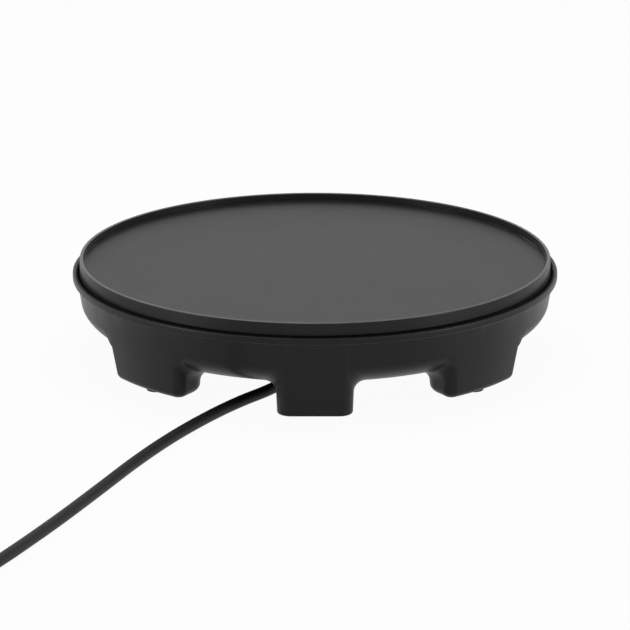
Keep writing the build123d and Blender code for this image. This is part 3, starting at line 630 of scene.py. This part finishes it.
smoothCopy("housing", "bowlHousing", housingPlastic)
smoothCopy("cooking_plate", "hotplate", plateCoating, rimShape)
for nodeName, nodeMaterial in (
    ("rubber_feet", footRubber),
    ("control_panel", panelPlastic),
    ("control_knob", knobPlastic),
    ("power_lens", redLens),
    ("ready_lens", greenLens),
    ("pilot_lamps", lampGlass),
    ("thermostat_spindle", brassMetal),
    ("thermostat_body", ceramicBody),
    ("thermostat_bracket", platedSteel),
    ("thermostat_blade", platedSteel),
    ("bracket_screws", platedSteel),
    ("heating_element", elementSteel),
    ("element_beads", ceramicBody),
    ("element_tabs", platedSteel),
    ("heat_shield", shieldMetal),
    ("spacers", ceramicBody),
    ("plate_screws", platedSteel),
    ("thermal_fuse", shieldMetal),
    ("terminal_block", nylonBody),
    ("terminal_screws", brassMetal),
    ("cord_bush", cordRubber),
    ("cord_inner_end", cordRubber),
    ("cord_clamp", nylonBody),
    ("clamp_screws", platedSteel),
    ("cord_cores", brownWire),
    ("earth_tag", brassMetal),
    ("earth_screw", platedSteel),
    ("neutral_lead", blueWire),
    ("live_lead", brownWire),
    ("earth_lead", greenWire),
    ("fuse_lead", brownWire),
    ("element_lead", brownWire),
    ("cord_tie", tiePlastic),
    ("power_plug", cordRubber),
    ("plug_pins", nickelMetal),
):
    dress(nodeName, nodeMaterial)
print("pieces dressed")


class Graph:
    # geometry nodes that build one mesh
    def __init__(self, name):
        self.name = name
        self.group = bpy.data.node_groups.new(name, "GeometryNodeTree")
        self.group.interface.new_socket("Geometry", in_out="OUTPUT", socket_type="NodeSocketGeometry")
        self.end = self.group.nodes.new("NodeGroupOutput")

    def add(self, kind, settings=None, inputs=None):
        node = self.group.nodes.new(kind)
        for name, value in (settings or {}).items():
            setattr(node, name, value)
        slots = {slot.identifier: slot for slot in node.inputs}
        for key, value in (inputs or {}).items():
            if isinstance(value, bpy.types.NodeSocket):
                self.group.links.new(value, slots[key])
            else:
                slots[key].default_value = value
        return node

    def calc(self, operation, first, second):
        values = {"Value": first, "Value_001": second}
        return self.add("ShaderNodeMath", {"operation": operation}, values).outputs[0]

    def join(self, sockets):
        node = self.group.nodes.new("GeometryNodeJoinGeometry")
        for socket in sockets:
            self.group.links.new(socket, node.inputs[0])
        return node.outputs[0]

    def build(self, geometry, material):
        real = self.add("GeometryNodeRealizeInstances", {}, {"Geometry": geometry})
        painted = self.add("GeometryNodeSetMaterial", {}, {
            "Geometry": real.outputs[0], "Material": material})
        self.group.links.new(painted.outputs[0], self.end.inputs[0])
        piece = linkObject(self.name, bpy.data.meshes.new(self.name))
        bakeModifier(piece, piece.modifiers.new("nodes", "NODES"), {"node_group": self.group})
        return piece


# sizes in these helpers and in the looks below are in millimetres and degrees
def capsuleBar(graph, length, width, thick):
    # flat bar with round ends, lying along X
    ends = []
    for side in (-0.5, 0.5):
        end = graph.add("GeometryNodeMeshCylinder", {}, {
            "Vertices": 20, "Radius": width * 0.0005, "Depth": thick * 0.001})
        moved = graph.add("GeometryNodeTransform", {}, {
            "Geometry": end.outputs["Mesh"], "Translation": mm(side * (length - width), 0.0, 0.0)})
        ends.append(moved.outputs[0])
    return graph.add("GeometryNodeConvexHull", {}, {"Geometry": graph.join(ends)}).outputs[0]


def ringBead(graph, radius, thick, segments):
    path = graph.add("GeometryNodeCurvePrimitiveCircle", {}, {
        "Resolution": segments, "Radius": radius * 0.001})
    bead = graph.add("GeometryNodeCurvePrimitiveCircle", {}, {
        "Resolution": 12, "Radius": thick * 0.0005})
    ring = graph.add("GeometryNodeCurveToMesh", {}, {
        "Curve": path.outputs["Curve"], "Profile Curve": bead.outputs["Curve"]})
    return ring.outputs[0]


def rowOf(graph, part, look):
    # copies of a part along a straight line, each a little larger than the last
    line = graph.add("GeometryNodeMeshLine", {}, {
        "Count": look["count"], "Start Location": mm(*look["first"]), "Offset": mm(*look["step"])})
    order = graph.add("GeometryNodeInputIndex").outputs[0]
    scale = graph.calc("ADD", graph.calc("MULTIPLY", order, look["growth"]), 1.0)
    placed = graph.add("GeometryNodeInstanceOnPoints", {}, {
        "Points": line.outputs[0], "Instance": part, "Scale": scale,
        "Rotation": [math.radians(angle) for angle in look["turn"]]})
    return placed.outputs[0]


dialMarks = {
    "radius": 18.6,
    "count": 11,
    "start": 90.0,          # off at the top, then clockwise
    "sweep": 270.0,
    "long": 2.6,
    "short": 1.5,
    "width": 0.55,
    "thick": 0.14,
    "place": (0.0, 148.22, 31.0),
    "turn": (90.0, 0.0, 0.0),
}


def makeDialMarks(look):
    # printed scale round the knob: long marks at the ends and every second step
    graph = Graph("dialMarks")
    arc = graph.add("GeometryNodeCurveArc", {"mode": "RADIUS"}, {
        "Resolution": look["count"], "Radius": look["radius"] * 0.001,
        "Start Angle": math.radians(look["start"]), "Sweep Angle": math.radians(look["sweep"])})
    points = graph.add("GeometryNodeCurveToPoints", {"mode": "EVALUATED"}, {"Curve": arc.outputs["Curve"]})
    place = graph.add("GeometryNodeInputPosition").outputs[0]
    outward = graph.add("FunctionNodeAlignRotationToVector", {"axis": "X"}, {"Vector": place})
    odd = graph.calc("MODULO", graph.add("GeometryNodeInputIndex").outputs[0], 2.0)
    length = graph.calc("ADD", graph.calc("MULTIPLY", odd, look["short"] / look["long"] - 1.0), 1.0)
    scale = graph.add("ShaderNodeCombineXYZ", {}, {"X": length, "Y": 1.0, "Z": 1.0})
    bars = graph.add("GeometryNodeInstanceOnPoints", {}, {
        "Points": points.outputs["Points"],
        "Instance": capsuleBar(graph, look["long"], look["width"], look["thick"]),
        "Rotation": outward.outputs[0], "Scale": scale.outputs[0]})
    stood = graph.add("GeometryNodeTransform", {}, {
        "Geometry": bars.outputs[0], "Translation": mm(*look["place"]),
        "Rotation": [math.radians(angle) for angle in look["turn"]]})
    keepPiece(graph.build(stood.outputs[0], markPaint), "control_panel")


def makeRings(name, look, material, node):
    graph = Graph(name)
    bead = ringBead(graph, look["radius"], look["thick"], look["segments"])
    keepPiece(graph.build(rowOf(graph, bead, look), material), node)


def makeBars(name, look, material, node):
    graph = Graph(name)
    bar = capsuleBar(graph, look["length"], look["width"], look["thick"])
    rows = [rowOf(graph, bar, {**look, "first": first}) for first in look["firsts"]]
    keepPiece(graph.build(graph.join(rows), material), node)


lensRings = {
    "radius": 4.5,
    "thick": 0.8,
    "segments": 64,
    "count": 2,
    "first": (-25.0, 148.2, 31.0),
    "step": (50.0, 0.0, 0.0),
    "turn": (90.0, 0.0, 0.0),
    "growth": 0.0,
}

# pointer line on the knob
knobLine = {
    "length": 3.4,
    "width": 0.9,
    "thick": 0.25,
    "count": 1,
    "firsts": ((0.0, 151.05, 43.6),),
    "step": (0.0, 0.0, 1.0),
    "turn": (90.0, -90.0, 0.0),
    "growth": 0.0,
}

# near-black ring in the groove between hotplate and flange, painted shade standing in for the dark gap
gapShadeRing = {
    "radius": 152.85,
    "thick": 2.1,
    "segments": 240,
    "count": 1,
    "first": (0.0, 0.0, 57.2),
    "step": (0.0, 0.0, 1.0),
    "turn": (0.0, 0.0, 0.0),
    "growth": 0.0,
}

# rings round the plug's sleeve, which widens towards the plug
sleeveRings = {
    "radius": 4.95,
    "thick": 0.9,
    "segments": 40,
    "count": 6,
    "first": (-287.35, -412.0, 9.85),
    "step": (0.0, 3.4, 0.0),
    "turn": (90.0, 0.0, 0.0),
    "growth": 0.0395,
}

# grip ribs on both sides of the plug
plugRibs = {
    "length": 12.0,
    "width": 1.3,
    "thick": 0.6,
    "count": 5,
    "firsts": ((-302.8, -375.0, 10.6), (-271.9, -375.0, 10.6)),
    "step": (0.0, 3.5, 0.0),
    "turn": (0.0, 90.0, 0.0),
    "growth": 0.0,
}

makeDialMarks(dialMarks)
makeRings("lensRings", lensRings, nickelMetal, "control_panel")
makeBars("knobLine", knobLine, markPaint, "control_knob")
# ring of painted shade in the gap between hotplate and flange
makeRings("gapShadeRing", gapShadeRing, gapShadeRubber, "housing")
makeRings("sleeveRings", sleeveRings, cordRubber, "power_plug")
makeBars("plugRibs", plugRibs, cordRubber, "power_plug")
print("small details made")

stageLook = {
    "size": 12.0,
    "tone": 0.86,
    "show": 0.95,           # how far the floor is plain white to the camera
    "world": 0.30,          # strength of the ambient light
}
shownRays = ("Is Camera Ray", "Is Glossy Ray", "Is Transmission Ray")


def makeStageMaterial(look):
    board = Board("paleFloor")
    path = board.tree.nodes.new("ShaderNodeLightPath")
    seen = [Sock(board, path.outputs[name]) for name in shownRays]
    factor = (seen[0] + seen[1] + seen[2]).clamp() * look["show"]
    matt = board.add("ShaderNodeBsdfDiffuse", {}, {"Color": grey(look["tone"])})
    white = board.add("ShaderNodeEmission", {}, {"Color": grey(1.0), "Strength": 1.0})
    mixed = board.add("ShaderNodeMixShader", {}, {0: factor, 1: matt, 2: white})
    board.tree.links.new(mixed.socket, board.end.inputs["Surface"])
    return board.material


def makeFloor(look):
    half = look["size"] / 2
    corners = [(-half, -half, 0), (half, -half, 0), (half, half, 0), (-half, half, 0)]
    mesh = bpy.data.meshes.new("floor")
    mesh.from_pydata(corners, [], [(0, 1, 2, 3)])
    floor = linkObject("floor", mesh)
    mesh.materials.append(makeStageMaterial(look))


def makeWorld(look):
    # white where it is seen, and weaker as light
    world = bpy.data.worlds.new("studio")
    bpy.context.scene.world = world
    world.use_nodes = True
    tree = world.node_tree
    tree.nodes.clear()
    path = tree.nodes.new("ShaderNodeLightPath")
    ambient, shown = (tree.nodes.new("ShaderNodeBackground") for _ in range(2))
    mixed = tree.nodes.new("ShaderNodeMixShader")
    end = tree.nodes.new("ShaderNodeOutputWorld")
    ambient.inputs["Color"].default_value = grey(1.0)
    ambient.inputs["Strength"].default_value = look["world"]
    shown.inputs["Color"].default_value = grey(1.0)
    total = path.outputs[shownRays[0]]
    for name in shownRays[1:]:
        either = tree.nodes.new("ShaderNodeMath")
        either.operation = "MAXIMUM"
        tree.links.new(total, either.inputs[0])
        tree.links.new(path.outputs[name], either.inputs[1])
        total = either.outputs[0]
    tree.links.new(total, mixed.inputs[0])
    tree.links.new(ambient.outputs[0], mixed.inputs[1])
    tree.links.new(shown.outputs[0], mixed.inputs[2])
    tree.links.new(mixed.outputs[0], end.inputs["Surface"])


lampSizes = {
    # name: (place, aim, width, height, watts)
    "topSoftbox": ((0.0, 0.35, 1.7), (0.0, 0.0, 0.05), 1.6, 1.2, 15.0),
    "leftCard": ((-1.7, 0.1, 0.5), (0.0, 0.0, 0.04), 1.2, 1.2, 3.0),
    "rightCard": ((1.7, 0.1, 0.5), (0.0, 0.0, 0.04), 1.2, 1.2, 3.5),
    "leftStrip": ((-1.75, -0.95, 0.14), (0.0, 0.0, 0.05), 0.4, 0.24, 20.0),
    "rightStrip": ((1.75, -0.95, 0.14), (0.0, 0.0, 0.05), 0.4, 0.24, 20.0),
}


def addLamp(name, place, aim, width, height, watts):
    data = bpy.data.lights.new(name, "AREA")
    data.shape = "RECTANGLE"
    data.size = width
    data.size_y = height
    data.energy = watts
    lamp = linkObject(name, data)
    lamp.location = place
    lamp.rotation_euler = (Vector(aim) - Vector(place)).to_track_quat("-Z", "Y").to_euler()


makeFloor(stageLook)
makeWorld(stageLook)
for lampName, lampSetting in lampSizes.items():
    addLamp(lampName, *lampSetting)
bpy.context.scene.view_settings.view_transform = "Standard"
print("light set")
